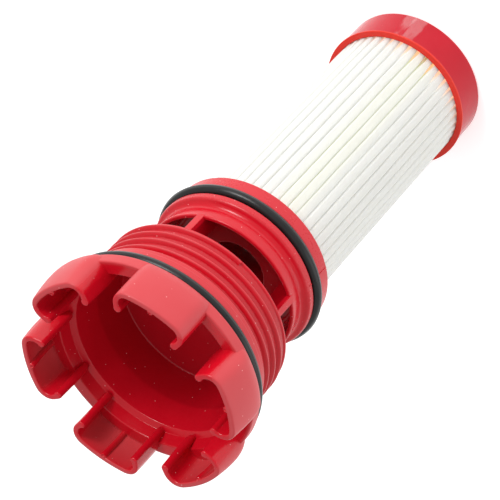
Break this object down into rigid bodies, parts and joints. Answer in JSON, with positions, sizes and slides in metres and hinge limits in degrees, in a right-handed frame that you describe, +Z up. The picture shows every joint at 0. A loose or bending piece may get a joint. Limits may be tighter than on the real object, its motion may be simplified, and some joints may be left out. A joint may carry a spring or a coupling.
{
  "type": "fuel filter cartridge",
  "caption": "Cartridge fuel filter: threaded moulded head with hollow grip lobes and O-rings, pleated element on a perforated tube, and a closed end cap.",
  "frame": {"origin": "centre of the end cap's flat base, with the filter standing on it", "axes": "+Z up the filter's axis towards the grip lobes; one lobe is centred on the direction halfway between +X and +Y"},
  "size_m": [0.0704, 0.0704, 0.1635],
  "materials": {
    "head_plastic": "injection moulded red plastic with a soft satin sheen",
    "end_cap_plastic": "polished red moulding with clear reflections on its side",
    "o_ring_rubber": "smooth black nitrile rubber with a soft grey highlight",
    "filter_media": "matt off-white non-woven filter paper, pleated",
    "core_plastic": "natural off-white moulded plastic",
    "potting_resin": "cast amber adhesive",
    "seam_glue": "thin yellow-green line of set adhesive"
  },
  "bodies": {
    "root": {"head": "head_plastic", "head_o_ring": "o_ring_rubber", "neck_o_ring": "o_ring_rubber", "upper_potting": "potting_resin", "centre_tube": "core_plastic", "pleated_media": "filter_media", "seam_adhesive": "seam_glue", "lower_potting": "potting_resin", "end_cap": "end_cap_plastic"}
  },
  "joints": []
}
